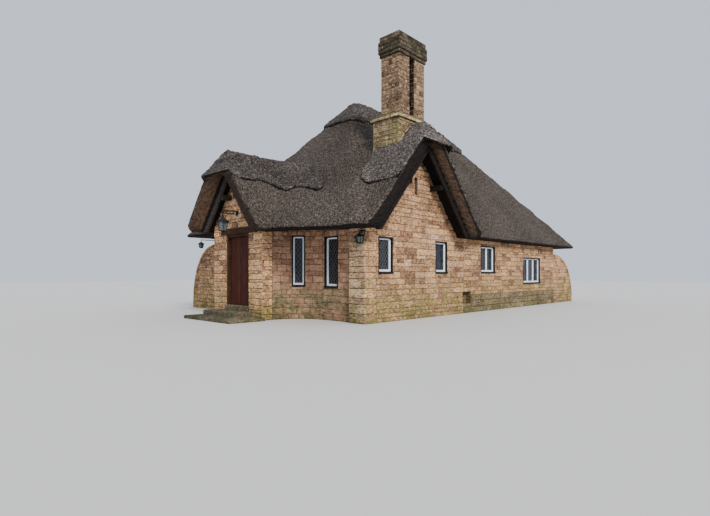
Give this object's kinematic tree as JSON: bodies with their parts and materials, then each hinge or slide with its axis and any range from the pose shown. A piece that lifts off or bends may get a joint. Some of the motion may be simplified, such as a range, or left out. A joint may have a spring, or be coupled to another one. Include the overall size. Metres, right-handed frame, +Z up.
{
  "type": "thatched cottage",
  "caption": "Stone cottage under a hipped thatched roof, with a cross gable and chimney in front, a gabled porch with a hinged plank door, and swept wing walls.",
  "frame": {"origin": "underside of the main floor, midway along and across the main block, at ground level", "axes": "+X along the front wall to the right, +Y inward from the front wall to the back, +Z up"},
  "size_m": [16.1203, 9.4003, 7.77],
  "materials": {
    "walls": "coursed buff and pink sandstone, mossy low down",
    "paving_stone": "worn flagstone",
    "chimney_stone": "weathered mossy sandstone",
    "thatch": "weathered grey-brown reed",
    "ridge_thatch": "grey sedge, block cut",
    "timber": "near-black stained oak",
    "door": "dark red-brown stained boards",
    "window_frames": "white paint in a black outer frame",
    "glazing": "old leaded panes",
    "ironwork": "dark green-black paint"
  },
  "bodies": {
    "house": {"front_gable_wall": "walls", "front_wall": "walls", "right_wall": "walls", "back_wall": "walls", "left_wall_rear": "walls", "corner_pier": "walls", "left_wall_front": "walls", "curved_wall_south": "walls", "curved_wall_north": "walls", "door_wall_right": "walls", "door_wall_left": "walls", "door_wall_over": "walls", "porch_side_wall": "walls", "wing_wall_right": "walls", "wing_wall_left": "walls", "floor": "paving_stone", "porch_floor": "paving_stone", "door_sill": "paving_stone", "lower_step": "paving_stone", "upper_step": "paving_stone", "chimney_base": "chimney_stone", "chimney_shaft": "chimney_stone", "chimney_cap": "chimney_stone", "thatch_gable": "thatch", "thatch_porch": "thatch", "thatch_corner": "thatch", "thatch_left": "thatch", "thatch_front": "thatch", "thatch_back": "thatch", "thatch_right": "thatch", "ridge_cap_main": "ridge_thatch", "ridge_cap_porch": "ridge_thatch", "ridge_cap_gable": "ridge_thatch", "door_lintel": "timber", "door_frame": "timber", "gable_board_right": "timber", "gable_board_left": "timber", "porch_board_right": "timber", "porch_board_left": "timber", "window_1_frame": "window_frames", "window_1_glass": "glazing", "window_2_frame": "window_frames", "window_2_glass": "glazing", "window_3_frame": "window_frames", "window_3_glass": "glazing", "window_4_frame": "window_frames", "window_4_glass": "glazing", "window_5_frame": "window_frames", "window_5_glass": "glazing", "window_6_frame": "window_frames", "window_6_glass": "glazing", "back_window_frame": "window_frames", "back_window_glass": "glazing", "porch_lantern": "ironwork", "left_lantern": "ironwork", "right_lantern": "ironwork"},
    "door": {"door_leaf": "door"}
  },
  "joints": [
    {"name": "door_hinge", "type": "hinge", "parent": "house", "child": "door", "pos_m": [-6.97, 0.7167, 1.3], "axis": [0, 0, 1], "range_deg": [0, 90]}
  ]
}
